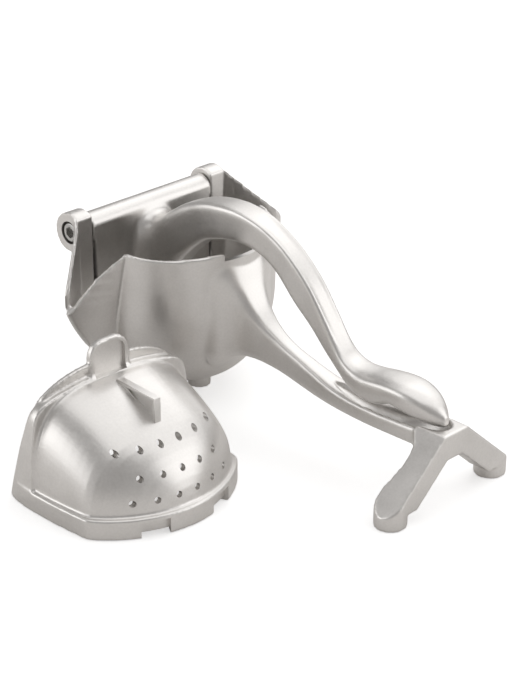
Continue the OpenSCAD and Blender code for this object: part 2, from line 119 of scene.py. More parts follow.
class Bench:
    """Workbench: each method is one modelling step with Blender's own operators."""

    @staticmethod
    def clear() -> None:
        """Leaves nothing selected and no object in edit mode."""
        if bpy.context.object is not None and bpy.context.object.mode != "OBJECT":
            bpy.ops.object.mode_set(mode="OBJECT")
        bpy.ops.object.select_all(action="DESELECT")

    @classmethod
    def pick(cls, piece: Piece) -> None:
        """Makes one piece the only selected and active object."""
        cls.clear()
        piece.select_set(True)
        bpy.context.view_layer.objects.active = piece

    @classmethod
    def loft(cls, name: str, rings: Sequence[Outline]) -> Piece:
        """Builds a closed solid by extruding one face from outline to outline.

        Args:
            name: Name of the new piece.
            rings: Outlines with the same number of points, in metres.

        Returns:
            The solid, with its normals facing outwards.
        """
        cls.clear()
        bpy.ops.mesh.primitive_circle_add(vertices=len(rings[0]), radius=1.0, fill_type="NGON")
        piece = bpy.context.object
        piece.name = name
        bpy.ops.object.mode_set(mode="EDIT")
        bpy.ops.mesh.select_all(action="SELECT")
        for step, ring in enumerate(rings):
            if step:
                bpy.ops.mesh.extrude_region_move()
            mesh = bmesh.from_edit_mesh(piece.data)
            for vertex, point in zip(next(face for face in mesh.faces if face.select).verts, ring):
                vertex.co = point
            bmesh.update_edit_mesh(piece.data)
        bpy.ops.mesh.select_all(action="SELECT")
        bpy.ops.mesh.quads_convert_to_tris(quad_method="BEAUTY", ngon_method="BEAUTY")
        bpy.ops.mesh.normals_make_consistent(inside=False)
        bpy.ops.object.mode_set(mode="OBJECT")
        return piece

    @classmethod
    def bar(cls, name: str, radius: float, start: Vector, end: Vector, sides: int = 64) -> Piece:
        """Adds a round bar between two points.

        Args:
            name: Name of the new piece.
            radius: Radius in mm.
            start: Centre of one end, in metres.
            end: Centre of the other end, in metres.
            sides: Number of sides.

        Returns:
            The bar, with its place in its mesh.
        """
        cls.clear()
        run = end - start
        bpy.ops.mesh.primitive_cylinder_add(
            vertices=sides, radius=radius * MM, depth=run.length, location=(start + end) / 2,
            rotation=run.to_track_quat("Z", "Y").to_euler())
        piece = bpy.context.object
        piece.name = name
        cls.settle(piece)
        return piece

    @classmethod
    def block(cls, name: str, low: Vector, high: Vector) -> Piece:
        """Adds a plain block between two corners, in metres."""
        cls.clear()
        bpy.ops.mesh.primitive_cube_add(size=1.0, location=(low + high) / 2)
        piece = bpy.context.object
        piece.name = name
        piece.scale = high - low
        cls.settle(piece)
        return piece

    @classmethod
    def settle(cls, piece: Piece) -> None:
        """Puts a piece's place, turn and scale into its mesh."""
        cls.pick(piece)
        bpy.ops.object.transform_apply(location=True, rotation=True, scale=True)

    @classmethod
    def shape(cls, piece: Piece, kind: str, **settings: object) -> None:
        """Adds one modifier of a kind, with its settings, and applies it."""
        cls.pick(piece)
        step = piece.modifiers.new(kind.title(), kind)
        for name, value in settings.items():
            setattr(step, name, value)
        bpy.ops.object.modifier_apply(modifier=step.name)

    @classmethod
    def work(cls, piece: Piece, other: Piece, how: Cut = Cut.AWAY, keep: bool = False) -> None:
        """Cuts, joins or intersects a piece with another shape.

        Args:
            piece: The piece that is changed.
            other: The shape it is worked with.
            how: The kind of cut.
            keep: Whether the other shape stays for a later cut.
        """
        cls.shape(piece, "BOOLEAN", operation=how.value, object=other, solver="MANIFOLD")
        if not keep:
            bpy.data.objects.remove(other)

    @classmethod
    def weld(cls, pieces: Sequence[Piece]) -> Piece:
        """Joins overlapping solids into the first one, ready to be cast."""
        cls.clear()
        for piece in pieces:
            piece.select_set(True)
        bpy.context.view_layer.objects.active = pieces[0]
        bpy.ops.object.join()
        return pieces[0]

    @classmethod
    def cast(cls, piece: Piece, grain: float, rounds: int) -> None:
        """Melts welded solids into one skin and rounds its edges and corners.

        Args:
            piece: The welded piece.
            grain: Size of the new faces, in mm.
            rounds: Number of rounding passes.
        """
        cls.shape(piece, "REMESH", mode="VOXEL", voxel_size=grain * MM, adaptivity=0.0)
        cls.rub(piece, rounds)

    @classmethod
    def fillet(cls, piece: Piece, middle: Vector, reach: Vector, rounds: int) -> None:
        """Fills and rounds one inner corner of a casting with a soft sweep.

        Args:
            piece: The cast piece.
            middle: Middle of the corner, in metres.
            reach: How far the sweep goes each way, in metres.
            rounds: Number of rounding passes.
        """
        group = piece.vertex_groups.new(name="sweep")
        for vertex in piece.data.vertices:
            away = vertex.co - middle
            share = 1 - math.sqrt(sum((d / r) ** 2 for d, r in zip(away, reach)))
            if share > 0:
                group.add([vertex.index], min(1.0, 2 * share), "REPLACE")
        cls.rub(piece, rounds, "sweep")
        piece.vertex_groups.remove(piece.vertex_groups["sweep"])

    @classmethod
    def rub(cls, piece: Piece, rounds: int, group: str = "") -> None:
        """Rounds a piece, or the part of it in a vertex group."""
        cls.shape(piece, "SMOOTH", factor=0.5, iterations=rounds, vertex_group=group)

    @classmethod
    def break_edges(cls, piece: Piece, width: float, segments: int) -> None:
        """Rounds the sharp edges of a piece by a width in mm."""
        cls.shape(piece, "BEVEL", width=width * MM, segments=segments, limit_method="ANGLE")

    @classmethod
    def finish(cls, piece: Piece, name: str, angle: float = 40.0) -> Piece:
        """Thins, names and shades a finished piece.

        Args:
            piece: The piece.
            name: Its final name.
            angle: Edges sharper than this, in degrees, stay crisp.

        Returns:
            The piece, with faces taken out of its flatter parts where it had too many.
        """
        count = sum(len(face.vertices) - 2 for face in piece.data.polygons)
        if count > MOST_TRIANGLES:
            cls.shape(piece, "DECIMATE", ratio=MOST_TRIANGLES / count)
        piece.name = name
        cls.pick(piece)
        bpy.ops.object.shade_smooth_by_angle(angle=math.radians(angle))
        return piece

    @classmethod
    def mirror(cls, piece: Piece) -> Piece:
        """Copies a piece to the other side of the middle plane."""
        cls.pick(piece)
        bpy.ops.object.duplicate()
        twin = bpy.context.object
        bpy.ops.object.mode_set(mode="EDIT")
        bpy.ops.mesh.select_all(action="SELECT")
        bpy.ops.transform.mirror(constraint_axis=(False, True, False), center_override=(0, 0, 0))
        bpy.ops.mesh.normals_make_consistent(inside=False)
        bpy.ops.object.mode_set(mode="OBJECT")
        return twin


def along_x(points: Flat, x: float) -> Outline:
    """Stands a front-view outline of [y, z] pairs in mm up at one x."""
    return [place(x, y, z) for y, z in points]


# ---- sub-assemblies


@dataclass
class LeverArm:
    """The arm and grip of the press lever, a curved bar of changing section."""

    half_width: float = 4.8
    grip_half_width: float = 10.0
    dish: float = 1.1
    around: int = 56
    steps: int = 6

    def stations(self) -> list[list[float]]:
        """Lists the arm's stations.

        Returns:
            Rows of top x, top z, bottom x, bottom z, half-width, squareness,
            height of the widest line and depth of the dished top.
        """
        w, g, d = self.half_width, self.grip_half_width, self.dish
        return [
            [0, 4.6, 3, -37, w + 11, 2.2, 0.5, 0],
            [5, 1.8, 6, -36.4, w + 9, 2.4, 0.5, 0],
            [9, -0.6, 10, -35, w + 6.4, 2.8, 0.5, 0],
            [14, -0.2, 17, -30.4, w + 3.8, 3.2, 0.5, 0],
            [22, 5.2, 27, -21.4, w + 2.4, 4, 0.5, 0],
            [32, 11.6, 36, -11.6, w + 1.9, 5, 0.5, 0],
            [45, 16.8, 47, -2.3, w + 2.4, 6, 0.5, 0],
            [57, 19.0, 57.5, 1.9, w + 2.7, 7, 0.5, 0],
            [69, 19.4, 66.5, 3.9, w + 2.3, 8, 0.5, 0.2 * d],
            [80.5, 17.6, 75, 4, w + 1.9, 8, 0.5, 0.6 * d],
            [91, 13.6, 84, 1.9, w + 1.3, 8, 0.5, d],
            [102, 7, 93.6, -3.4, w + 1.1, 8, 0.5, d],
            [113.6, -3.4, 104.6, -14.2, w + 1, 8, 0.5, d],
            [123.4, -16, 115.4, -23.2, w + 0.9, 7, 0.5, 0.8 * d],
            [130.6, -26, 124, -31.8, w + 1, 5.5, 0.5, 0.3 * d],
            [136.5, -31.8, 131.5, -38, w + 1.8, 4, 0.55, 0],
            [143, -33.6, 138.8, -44.2, g - 2.2, 2.8, 0.6, 0],
            [150, -33.5, 147, -47.4, g - 0.8, 2.6, 0.64, 0],
            [158, -32.3, 156, -47.2, g - 0.2, 2.6, 0.66, 0],
            [166, -31.5, 165.5, -43.6, g, 2.6, 0.6, 0],
            [174, -31.8, 174, -45.2, g - 0.4, 2.6, 0.66, 0],
            [182, -33.9, 182.4, -46.4, g - 2.2, 2.4, 0.66, 0],
            [188, -37.4, 188.6, -46.6, g - 5.2, 2.3, 0.6, 0],
            [191.8, -41.4, 192.2, -46, g - 8.4, 2.2, 0.5, 0],
        ]

    def ring(self, row: Row) -> Outline:
        """Draws the section at one station."""
        tx, tz, bx, bz, w, square, widest, dish = row
        full = math.hypot(tx - bx, tz - bz)
        up = ((tx - bx) / full, (tz - bz) / full)
        ring = []
        for i in range(self.around):
            a = 2 * math.pi * (i + 0.5) / self.around
            y = w * signed_power(math.cos(a), 2 / square)
            s = signed_power(math.sin(a), 2 / square)
            rise = widest + (1 - widest) * s if s > 0 else widest + widest * s
            dip = dish * max(0.0, 1 - (y / (0.8 * w)) ** 2) if s > 0 else 0.0
            reach = full * rise - dip
            ring.append(place(bx + up[0] * reach, y, bz + up[1] * reach))
        return ring

    def build(self) -> Piece:
        """Models the arm and grip as one loft."""
        return Bench.loft("arm", [self.ring(row) for row in spline(self.stations(), self.steps)])


@dataclass
class Housing:
    """The cast housing: cup, hinge ears, lower handle, yoke and feet."""

    wall: float = 2.4
    cup_radius: float = 45.0
    cup_centre: float = 25.0
    rim_drop: float = 2.0
    spout_y: float = 72.0
    spout_x: float = 24.5
    spout_drop: float = 23.4
    spout_lean: float = 0.45
    cup_depth: float = 76.5
    round_drop: float = 27.0
    floor_x: float = 30.0
    back_x: float = 12.5
    crease_turn: float = 76.0
    rim_at_ear: float = 7.6
    back_rim: float = -11.0
    notch_width: float = 12.5
    notch_depth: float = 1.6
    ear_span: float = 94.0
    ear_thick: float = 9.2
    boss_radius: float = 9.6
    ear_front: float = 6.0
    ear_web: float = 4.4
    screw_bore: float = 3.06
    head_bore: float = 5.5
    head_seat: float = 6.3
    handle_width: float = 4.6
    foot_x: float = 190.7
    foot_y: float = 33.0
    foot_radius: float = 7.3
    foot_height: float = 6.0
    peg_radius: float = 5.5
    yoke_height: float = 35.0
    yoke_width: float = 15.0
    leg_depth: float = 12.5
    seat_clear: float = 0.8
    seat_low: float = -46.6
    trough_width: float = 7.2
    trough_depth: float = 5.0
    handle_x: float = 99.0
    sweep: tuple[float, float, float] = (69.0, 15.0, -32.0)
    sweep_reach: tuple[float, float, float] = (14.0, 11.0, 30.0)
    sweep_rounds: int = 70
    grain: float = 0.68
    rounds: int = 4

    @property
    def ear_in(self) -> float:
        """Inner face of the ears, from the middle plane."""
        return self.ear_span / 2 - self.ear_thick

    def shrink(self, z: float, inward: float) -> float:
        """Gives the share of the cup's outline that is left at height z."""
        t = min(1.0, max(0.0, (-z - self.round_drop) / (self.cup_depth - inward - self.round_drop)))
        return (1 - t ** 2.3) ** (1 / 2.3)

    def cup_ring(self, z: float, inward: float) -> Outline:
        """Draws the cup's outline at height z, moved inward by a distance in mm."""
        tip = (self.spout_x - 0.33 * inward,
               self.spout_y - self.spout_lean * max(0.0, -self.spout_drop - z) - 2.05 * inward)
        root = (self.ear_front, self.ear_span / 2)
        r, side = self.cup_radius - inward, self.ear_in + self.wall - inward
        back = -self.back_x + inward
        crease = min(88.0, self.crease_turn + 0.25 * max(0.0, -z))
        corner = ((0, -7.2), (0.5, -5), (1.6, -3.2), (2.9, -1.8), (4.6, -0.8), (6.6, -0.2), (9, 0))
        half = [(back, 0.0)] + [(back + x, side + y) for x, y in corner]
        if inward > 0:
            half += [(self.ear_front, self.ear_in), (root[0], root[1] - 0.6), (root[0] + 3.9, root[1] + 2.7)]
        else:
            half += [(self.ear_front - self.ear_web, side), (root[0] - self.ear_web, root[1] - 2),
                     (root[0] - self.wall, root[1]), (root[0] + 1.9, root[1] + 3.2)]
        nose = 0.5 if inward > 0 else 1.0
        half += [(tip[0] - 1.2 * nose, tip[1] - 1.6 * nose), tip, (tip[0] + 1.4 * nose, tip[1] - 0.8 * nose)]
        turns = 36
        for i in range(turns + 1):
            a = math.radians(crease * (1 - i / turns))
            half.append((self.cup_centre + r * math.cos(a), r * math.sin(a)))
        whole = [(x, -y) for x, y in half] + half[-2:0:-1]
        k = self.shrink(z, inward)
        return [place(self.floor_x + (x - self.floor_x) * k, y * k, z) for x, y in whole]

    def bowl(self, name: str, inward: float, top: float) -> Piece:
        """Models the cup as a solid, or its hollow when moved inward."""
        low = self.cup_depth - inward - self.round_drop
        heights = [-self.round_drop - low * math.sin(math.radians(a)) for a in range(87, -1, -3)]
        heights += [-self.spout_drop, -20, -14, -8, -2, 4, top]
        return Bench.loft(name, [self.cup_ring(z, inward) for z in heights])

    def rim_cutter(self, name: str, rim: Sequence[Row], x0: float, x1: float) -> Piece:
        """Models what lies above a rim between two places along X, on one side."""
        sky, inner, outer = 60.0, -1.0, self.spout_y + 20
        points = [(inner, sky), (inner, rim[0][1])] + [(y, z) for y, z in spline(rim, 4)]
        points += [(outer, rim[-1][1]), (outer, sky)]
        return Bench.loft(name, [along_x(points, x0), along_x(points, x1)])

    def wing_rim(self) -> list[list[float]]:
        """Gives the rim from the ear out to the spout tip, as rows of y and z."""
        y, z = self.spout_y, -self.spout_drop
        return [[self.ear_span / 2, self.rim_at_ear], [self.ear_span / 2 + 2.7, self.rim_at_ear - 3.2],
                [y - 16.5, z + 21.4], [y - 10.6, z + 15], [y - 4.6, z + 8.8], [y - 1.8, z + 4.6],
                [y - 0.6, z - 0.2], [y, z - 2.5]]

    def lip_rim(self) -> list[list[float]]:
        """Gives the rim from the front round to the spout tip, as rows of y and z."""
        y, z, r = self.spout_y, -self.spout_drop, self.cup_radius
        top = -self.rim_drop
        front = ((0.5, 1.1), (0.65, 0.5), (0.78, 0), (0.87, 0), (0.93, 0.6), (0.965, 0.7), (0.99, -0.3), (1.03, -2))
        side = ((-17.3, 12.8), (-10.5, 5.6), (-4, -1), (-1, -2.4), (0, -2.5))
        return ([[self.notch_width + 2, top + 1.4]] + [[r * share, top + rise] for share, rise in front]
                + [[y + out, z + rise] for out, rise in side])

    def cup(self) -> Piece:
        """Models the open cup with its two spouts."""
        cup = self.bowl("cup", 0, self.boss_radius + 3)
        for rim, x0, x1 in ((self.wing_rim(), -60.0, self.spout_x),
                            (self.lip_rim(), self.spout_x - 1.2, 140.0)):
            cutter = self.rim_cutter("rim", rim, x0, x1)
            twin = Bench.mirror(cutter)
            Bench.work(cup, cutter)
            Bench.work(cup, twin)
        far, plate, ears = 60.0, self.ear_front + 30, self.ear_front - self.ear_web - 1
        for name, y, front in (("behind_plate", self.ear_in, plate), ("behind_ears", far, ears)):
            Bench.work(cup, Bench.block(name, place(-far, -y, self.back_rim), place(front, y, far)))
        return cup

    def ears(self) -> list[Piece]:
        """Models the two hinge ears: flat-fronted bosses on webs."""
        parts = []
        for side in SIDES:
            y0, y1 = sorted((side * self.ear_in, side * self.ear_span / 2))
            boss = Bench.bar("boss", self.boss_radius, place(0, y0, 0), place(0, y1, 0), 96)
            Bench.work(boss, Bench.block("flat", place(self.ear_front, y0 - 1, -20),
                                         place(20, y1 + 1, 20)))
            web = Bench.block("web", place(self.ear_front - self.ear_web, y0, -self.round_drop),
                              place(self.ear_front, y1, 0))
            parts += [boss, web]
        return parts

    def handle_stations(self) -> list[list[float]]:
        """Lists the lower handle's stations: x, top, underside and half-width."""
        w = self.handle_width
        return [[62, -4, -60, 20], [66.5, -4.6, -55.5, 18.5], [70, -8.4, -52.8, 14], [74, -17.6, -51.8, 9.8],
                [79, -25.8, -51.6, 7.4], [85, -32, -52, 5.9], [92, -36.6, -52.9, w + 0.3],
                [99, -39.9, -54, w], [108, -42.8, -55.6, w + 0.2], [118, -45.8, -57, w + 0.8],
                [128, -48.2, -57.7, w + 1.6], [140, -49, -57.6, w + 3],
                [154, -48.6, -57.2, w + 4.2], [170, -47.6, -56.6, w + 4.8], [190, -46, -56, w + 5]]

    def handle(self) -> Piece:
        """Models the lower handle as a loft of round-cornered sections."""
        return Bench.loft("handle", [self.bar_ring(x, low, top, w, 5.0)
                                     for x, top, low, w in spline(self.handle_stations(), 6)])

    def bar_ring(self, x: float, low: float, top: float, width: float, square: float) -> Outline:
        """Draws a round-cornered upright section at one place along X."""
        mid, half, ring = (low + top) / 2, (top - low) / 2, []
        for i in range(48):
            a = 2 * math.pi * (i + 0.5) / 48
            ring.append(place(x, width * signed_power(math.cos(a), 2 / square),
                              mid + half * signed_power(math.sin(a), 2 / square)))
        return ring

    def trough(self) -> Piece:
        """Models what is hollowed out of the handle's top, under the closed grip."""
        low, run = self.seat_low - self.seat_clear, self.foot_x - self.handle_x
        neck = ((0.29, -48.5, 0.06, 0.06), (0.35, -48.7, 0.34, 0.35), (0.43, -49, 0.58, 0.7),
                (0.52, -49.2, 0.82, 1), (0.62, -49.2, 0.95, 1), (0.74, -48.6, 1, 1))
        bed = ((0.87, low, 3.4, 0.98), (0.95, low, 2.6, 0.88), (1, low + 0.5, 1.6, 0.62),
               (1.03, low + 0.9, 0.7, 0.2))
        rows = [[u, z - self.trough_depth * d, z + self.trough_depth * d, w] for u, z, w, d in neck]
        rows += [[u, z - d, z + d + 2, w] for u, z, d, w in bed]
        rings = [self.bar_ring(self.handle_x + run * u, z0, z1, self.trough_width * max(w, 0.03), 2.8)
                 for u, z0, z1, w in spline(rows, 4)]
        return Bench.loft("trough", rings)

    def yoke(self) -> list[Piece]:
        """Models the yoke: two sloping legs that end in round feet."""
        back, front = self.foot_x - self.foot_radius + 1.2, self.foot_x + self.foot_radius - 0.2
        ground = -HINGE_HEIGHT
        half = [(back - 3, -9.5), (back + 1, -14), (back + 1.7, -18), (back + 1.5, -22), (back + 0.4, -26),
                (back - 0.9, -30)]
        for i in range(25):
            a = math.radians(180 + 180 * i / 24)
            half.append((self.foot_x + self.foot_radius * math.cos(a),
                         -self.foot_y + self.foot_radius * math.sin(a)))
        half += [(front, -self.foot_y)]
        plan = half + [(x, -y) for x, y in reversed(half)]
        body = Bench.loft("yoke", [[place(x, y, z) for x, y in plan]
                                   for z in (ground, ground + self.yoke_height + 1)])
        top, toe = ground + self.yoke_height, ground + self.foot_height
        out, w = self.foot_y + self.foot_radius, self.yoke_width / 2
        slope = (top - toe) / (out - w)
        low = top - self.leg_depth
        right = [(w, top), (out, toe), (w - 2.4 + (low - toe) / slope, toe), (w - 2.4, low)]
        view = right + [(-y, z) for y, z in reversed(right)]
        ends = [along_x(view, self.foot_x + run) for run in (-30, 30)]
        Bench.work(body, Bench.loft("front_view", ends), Cut.COMMON)
        feet = [Bench.bar("foot", self.foot_radius, place(self.foot_x, s * self.foot_y, ground),
                          place(self.foot_x, s * self.foot_y, toe), 72) for s in SIDES]
        return [body] + feet

    def build(self) -> Piece:
        """Models the whole casting.

        Returns:
            The housing as one skin with its bores cut.
        """
        hollow = self.bowl("hollow", self.wall, self.boss_radius + 5)
        cup, handle = self.cup(), self.handle()
        Bench.work(cup, hollow, keep=True)
        Bench.work(handle, hollow)
        yoke = self.yoke()
        trough = self.trough()
        Bench.work(handle, trough, keep=True)
        Bench.work(yoke[0], trough)
        peg = Bench.bar("peg", self.peg_radius, place(HINGE_BACK, 0, -HINGE_HEIGHT),
                        place(HINGE_BACK, 0, 6 - self.cup_depth))
        housing = Bench.weld([cup, handle, peg] + yoke + self.ears())
        Bench.cast(housing, self.grain, self.rounds)
        x, y, z = self.sweep
        for side in SIDES:
            Bench.fillet(housing, place(x, side * y, z), Vector(self.sweep_reach) * MM, self.sweep_rounds)
        low = place(self.cup_centre, -self.notch_width, -self.rim_drop - self.notch_depth)
        high = place(self.cup_centre + self.cup_radius + 5, self.notch_width, 20)
        Bench.work(housing, Bench.block("notch", low, high))
        for side in SIDES:
            outer = side * (self.ear_span / 2 + 1)
            for radius, inner, sides in ((self.screw_bore, side * (self.ear_in - 1), 48),
                                         (self.head_bore, side * (self.ear_span / 2 - self.head_seat), 64)):
                bore = Bench.bar("bore", radius, place(0, inner, 0), place(0, outer, 0), sides)
                Bench.work(housing, bore)
        return Bench.finish(housing, "housing_casting")


@dataclass
class PressLever:
    """The press lever: hinge barrel, press plate, curved arm and grip."""

    barrel_radius: float = 6.8
    barrel_half: float = 37.4
    plate_radius: float = 62.0
    plate_thick: float = 5.5
    plate_front: float = 6.4
    plate_half: float = 36.3
    corner: float = 24.0
    saddle: tuple[float, float, float] = (11.0, 0.0, -3.0)
    saddle_reach: tuple[float, float, float] = (11.0, 24.0, 20.0)
    saddle_rounds: int = 90
    grain: float = 0.6
    rounds: int = 4

    def plate(self) -> Piece:
        """Models the press plate, with straight sides and a round lower end."""
        w, r, low = self.plate_half, self.corner, -self.plate_radius
        half = [(w, -2.0), (w, -6.0)]
        for i in range(17):
            a = math.radians(-90 * i / 16)
            half.append((w - r + r * math.cos(a), low + r + r * math.sin(a)))
        tip = -math.sqrt(self.plate_radius ** 2 - self.plate_front ** 2)
        front = [(y, max(z, tip)) for y, z in half]
        outline = front + [(-y, z) for y, z in reversed(front)]
        back = self.plate_front - self.plate_thick
        return Bench.loft("plate", [along_x(outline, back), along_x(outline, self.plate_front)])

    def build(self) -> Piece:
        """Models the whole lever.

        Returns:
            The lever as one skin.
        """
        barrel = Bench.bar("barrel", self.barrel_radius, place(0, -self.barrel_half, 0),
                           place(0, self.barrel_half, 0), 96)
        flat = Bench.block("flat", place(self.plate_front, -50, -20), place(20, 50, 20))
        Bench.work(barrel, flat)
        lever = Bench.weld([LeverArm().build(), barrel, self.plate()])
        Bench.cast(lever, self.grain, self.rounds)
        Bench.fillet(lever, place(*self.saddle), Vector(self.saddle_reach) * MM, self.saddle_rounds)
        return Bench.finish(lever, "lever_casting")


@dataclass
class Strainer:
    """The lift-out strainer, drawn standing on its skirt from the open arch forward."""

    length: float = 75.0
    half_width: float = 45.5
    height: float = 52.0
    wall: float = 2.2
    skirt_height: float = 9.5
    skirt_out: float = 2.2
    arch_lean: float = 0.3
    band_length: float = 20.0
    lip_height: float = 7.0
    lip_thick: float = 2.4
    tab_width: float = 21.0
    tab_height: float = 19.0
    tab_thick: float = 3.2
    fin_length: float = 25.0
    fin_thick: float = 3.2
    fin_edge: float = 0.25
    panel: float = 1.1
    hole: float = 2.9
    hole_pitch: float = 10.0
    first_row: float = 15.3
    row_rise: float = 9.6
    gap_width: float = 13.0
    gap_turn: float = 27.0
    juice_from: float = 36.0
    stand_x: float = 58.0
    stand_y: float = 89.0
    turn: float = -2.8
    round_at: float = 0.27
    corner_at: float = 0.72
    grain: float = 0.56

    def stand(self, s: float, y: float, z: float) -> Vector:
        """Turns a point of the strainer's own drawing into the model's frame."""
        a = math.radians(self.turn)
        return place(self.stand_x + s * math.cos(a) - y * math.sin(a),
                     -self.stand_y + s * math.sin(a) + y * math.cos(a), z - HINGE_HEIGHT)

    def plan(self, u: float, width: float) -> float:
        """Gives the half-width at share u of the length: flat sides, a corner, a round front."""
        if u < self.corner_at:
            return width * (1 - 0.075 * max(0.0, (u - self.round_at) / (self.corner_at - self.round_at)) ** 1.5)
        t = (u - self.corner_at) / (1 - self.corner_at)
        return width * 0.925 * math.sqrt(max(0.0, 1 - t ** 1.22))

    def dome_ring(self, s: float, inward: float) -> Outline:
        """Draws the upright slice of the dome at distance s from the arch."""
        full, start = self.length - self.skirt_out - inward, self.band_length - 4
        u, t = s / full, max(0.0, (s - start) / (full - start))
        short = max(0.0, self.band_length - s)
        w = self.plan(u, self.half_width - self.skirt_out - inward - 0.28 * short)
        h = (self.height - inward - 0.15 * short) * max(0.0, 1 - t ** 1.4) ** 0.36
        square, low = 3.4 - 0.9 * t, (-2.0 if inward > 0 else 0.0)
        ring = [self.stand(s, w, low)]
        for i in range(1, 48):
            a = math.pi * i / 48
            ring.append(self.stand(s, w * signed_power(math.cos(a), 2 / square),
                                   h * signed_power(math.sin(a), 2 / square)))
        return ring + [self.stand(s, -w, low)]

    def dome(self, name: str, inward: float) -> Piece:
        """Models the dome as a solid, or its hollow when moved inward."""
        full, front = self.length - self.skirt_out - inward, 1 - self.round_at
        shares = [-0.08, 0, 0.14, 0.2, self.round_at]
        shares += [self.round_at + front * math.sin(math.radians(a)) for a in (*range(5, 86, 5), 87, 88.5)]
        return Bench.loft(name, [self.dome_ring(u * full, inward) for u in shares])

    def skirt_points(self, inward: float) -> list[tuple[float, float]]:
        """Draws the plan of the skirt, moved inward by a distance in mm."""
        w, b = self.half_width - inward, self.band_length
        side = [(0.0, w - 4.5), (b * 0.12, w - 2.3), (b * 0.36, w - 0.6), (b * 0.7, w - 0.1), (b, w)]
        for i in range(1, 45):
            t = 1 - i / 45
            u = 1 - t ** 2.2 * 0.6
            side.append(((self.length - inward) * u, self.plan(u, w)))
        return side + [(self.length - inward, 0.0)] + [(x, -y) for x, y in reversed(side)]

    def skirt(self, name: str, inward: float, low: float, high: float) -> Piece:
        """Models the skirt between two heights."""
        plan, lean, b = self.skirt_points(inward), self.arch_lean, self.band_length
        return Bench.loft(name, [[self.stand(x + lean * z * max(0.0, 1 - x / b), y, z) for x, y in plan]
                                 for z in (low, high)])

    def band(self) -> Piece:
        """Models the band round the arch, which flares forward and ends upright."""
        arch = ((0.99, 0), (0.987, 0.18), (0.967, 0.48), (0.947, 0.615), (0.919, 0.77), (0.885, 0.85),
                (0.813, 0.905), (0.703, 0.94), (0.615, 0.96), (0.374, 1), (0.1, 1.02), (0, 1.022))
        flare = ((-0.08, 5.2), (0, 4.1), (0.04, 3), (0.1, 1.9), (0.2, 1), (0.36, 0.4), (0.6, 0.1), (1, 0))
        shares, rings = spline(arch, 3), []
        for along, drop in flare:
            half = []
            for p, q in shares:
                y, z = p * self.half_width, q * self.height
                start = z * self.arch_lean
                half.append((start + along * (self.band_length - start), y * (1 - drop / self.half_width), z))
            rings.append([self.stand(*spot) for spot in half]
                         + [self.stand(s, -y, z) for s, y, z in half[-2::-1]])
        return Bench.loft("band", rings)

    def leaning(self, name: str, points: Flat, start: float, thick: float) -> Piece:
        """Models a plate in the plane of the arch, from [y, z] points."""
        tilt = math.atan(self.arch_lean)
        rings = []
        for d in (start, start + thick):
            rings.append([self.stand(z * self.arch_lean + d / math.cos(tilt), y, z) for y, z in points])
        return Bench.loft(name, rings)

    def lip(self) -> Piece:
        """Models the lip that stands on the back of the band."""
        arch = []
        for i in range(25):
            y = 34.5 * (1 - i / 24)
            arch.append((y, (self.height + self.lip_height)
                         * (1 - (y / (self.half_width + 2)) ** 2.8) ** (1 / 2.8)))
        end = [(36.8, 36.0), (36.8, 43.6), (36.3, 45.6), (35.5, 47.4)]
        half = end + arch
        points = half + [(-y, z) for y, z in half[-2::-1]]
        return self.leaning("lip", points, -0.6, self.lip_thick)

    def tab(self, inset: float, back: float, front: float) -> Piece:
        """Models the upright thumb tab, or the sunk panel in its front when set in by a distance in mm."""
        r, w, h = self.tab_width * 0.34, self.tab_width / 2, self.tab_height
        half = [(w - inset, 2.6 if inset else 0.0)]
        for i in range(13):
            a = math.radians(90 * i / 12)
            half.append((w - r + (r - inset) * math.cos(a), h - r + (r - inset) * math.sin(a)))
        outline = half + [(-y, z) for y, z in reversed(half)]
        foot_s, foot_z = self.arch_lean * self.height + 0.6, self.height - 3
        return Bench.loft("tab", [[self.stand(foot_s + x, y, foot_z + z) for y, z in outline]
                                  for x in (back, front)])

    def fin(self) -> Piece:
        """Models the thin upright fin, with a sunk panel on each side."""
        tip, top = self.band_length + 6.5, self.height - 0.6
        end, half = tip + self.fin_length, self.fin_thick / 2
        side = [(tip - 3, top - 7), (tip - 3, top - 1.8), (tip, top), (end, top), (end, top - 19),
                (tip + 8, top - 15)]
        fin = Bench.loft("fin", [[self.stand(x, y, z) for x, z in side] for y in (-half, half)])
        sunk = [(tip + 6, top - 1.6), (end - 1.8, top - 1.6), (end - 1.8, top - 11)]
        for s in SIDES:
            Bench.work(fin, Bench.loft("panel", [[self.stand(x, y, z) for x, z in sunk]
                                                 for y in (s * (half - self.panel), s * (half + 1))]))
        Bench.break_edges(fin, self.fin_edge, 2)
        return fin

    def gap(self, side: int) -> list[Piece]:
        """Models the cutters of one juice gap in the skirt: its edge and its recess."""
        def across(top: float) -> Piece:
            """Draws the straight cutter up to a height."""
            a, w, far = math.radians(side * self.gap_turn), self.gap_width / 2, 80.0
            corners = [(0.0, -w), (far, -w), (far, w), (0.0, w)]
            turned = [(self.juice_from + x * math.cos(a) - y * math.sin(a), x * math.sin(a) + y * math.cos(a))
                      for x, y in corners]
            return Bench.loft("gap", [[self.stand(x, y, z) for x, y in turned] for z in (-1.0, top)])
        recess = across(self.skirt_height - 2)
        Bench.work(recess, self.skirt("inner", self.skirt_out, -2, self.skirt_height + 2))
        return [across(2.0), recess]

